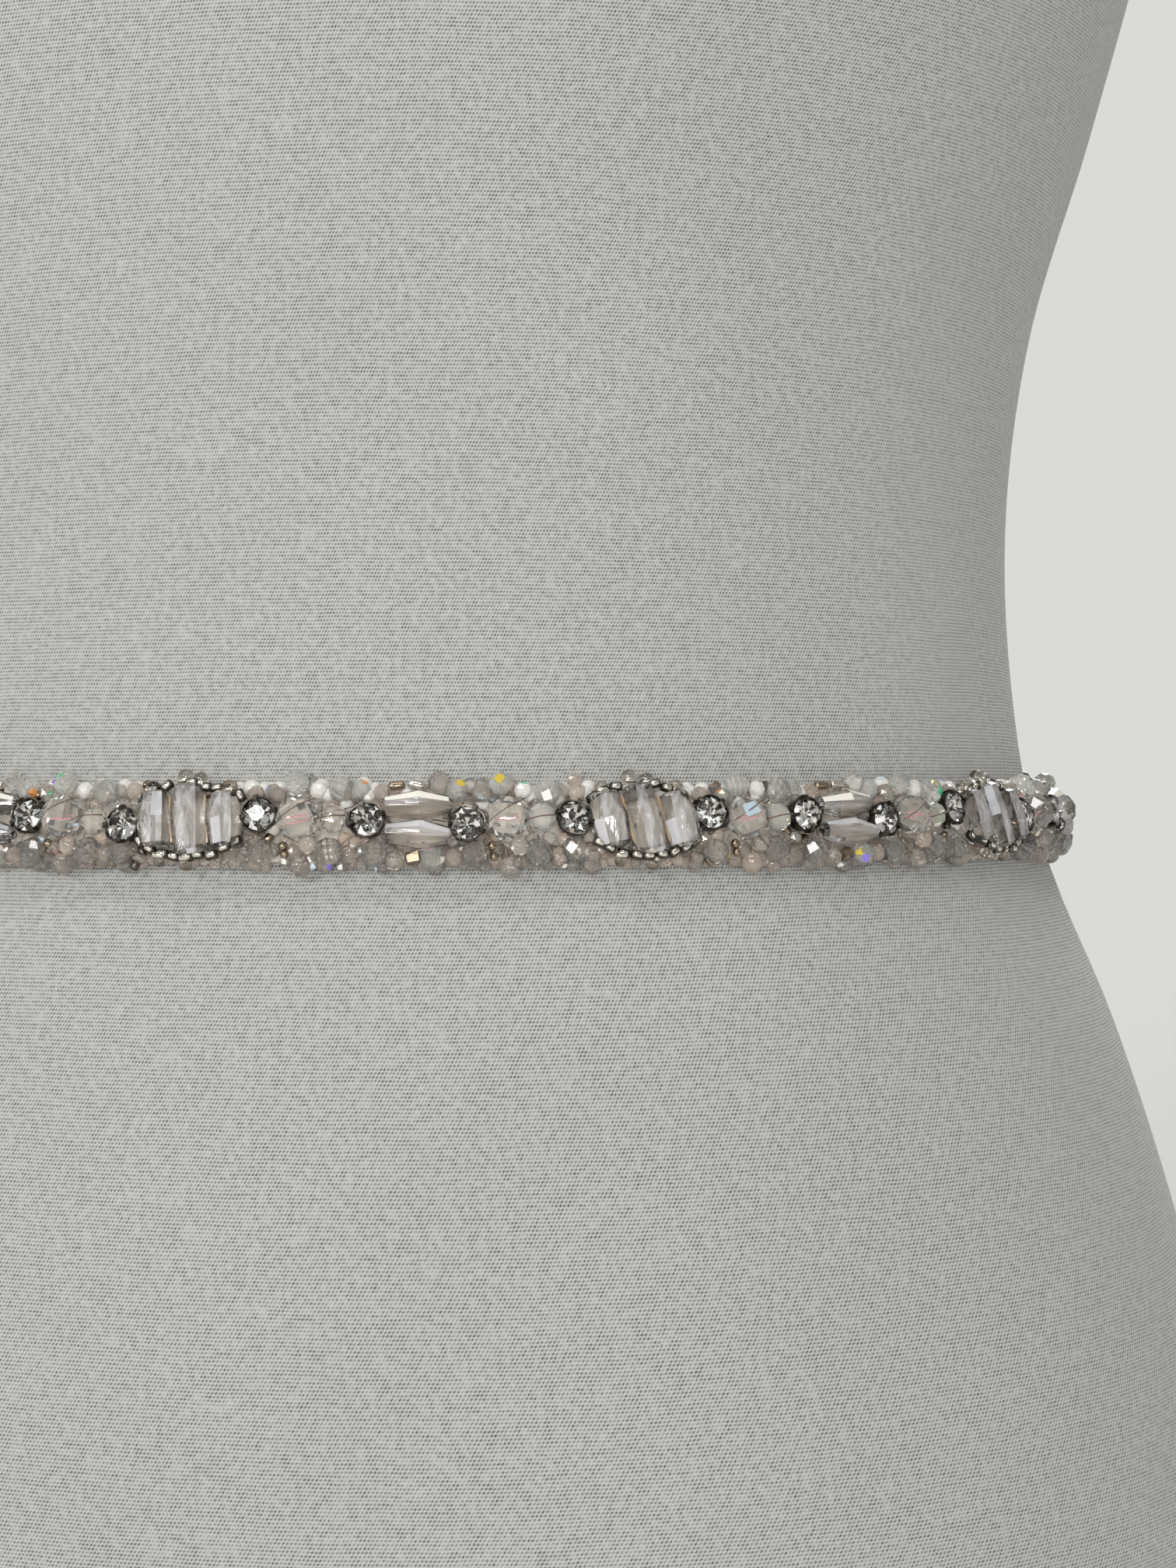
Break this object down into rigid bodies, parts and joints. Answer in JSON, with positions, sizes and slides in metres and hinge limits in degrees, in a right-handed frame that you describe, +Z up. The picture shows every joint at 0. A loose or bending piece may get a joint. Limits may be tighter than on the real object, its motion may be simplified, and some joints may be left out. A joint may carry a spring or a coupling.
{
  "type": "bridal sash on a dress form",
  "caption": "Narrow satin bridal sash covered in crystal beading, tied round the waist of a limbless jersey dress form that stands on its flat underside.",
  "frame": {"origin": "centre of the dress form's flat underside, on the floor", "axes": "+Z up along the form, -Y towards the centre front, +X towards the side that is on the right when the front is looked at"},
  "size_m": [0.3282, 0.2428, 0.72],
  "materials": {
    "jersey": "fine matt weft knit, off white",
    "satin_ribbon": "ivory satin",
    "crystal_beads": "clear and blush crystal beads with dark silver cups"
  },
  "bodies": {
    "root": {"dress_form": "jersey", "ribbon_band": "satin_ribbon", "bead_medallion_1": "crystal_beads", "bead_medallion_2": "crystal_beads", "bead_medallion_3": "crystal_beads", "bead_medallion_4": "crystal_beads", "bead_medallion_5": "crystal_beads", "bead_medallion_6": "crystal_beads", "bead_medallion_7": "crystal_beads", "bead_medallion_8": "crystal_beads", "bead_medallion_9": "crystal_beads", "bead_spray_1": "crystal_beads", "bead_spray_2": "crystal_beads", "bead_spray_3": "crystal_beads", "bead_spray_4": "crystal_beads", "bead_spray_5": "crystal_beads", "bead_spray_6": "crystal_beads", "bead_spray_7": "crystal_beads", "bead_spray_8": "crystal_beads", "knot": "satin_ribbon", "tail_left": "satin_ribbon", "tail_right": "satin_ribbon"}
  },
  "joints": []
}
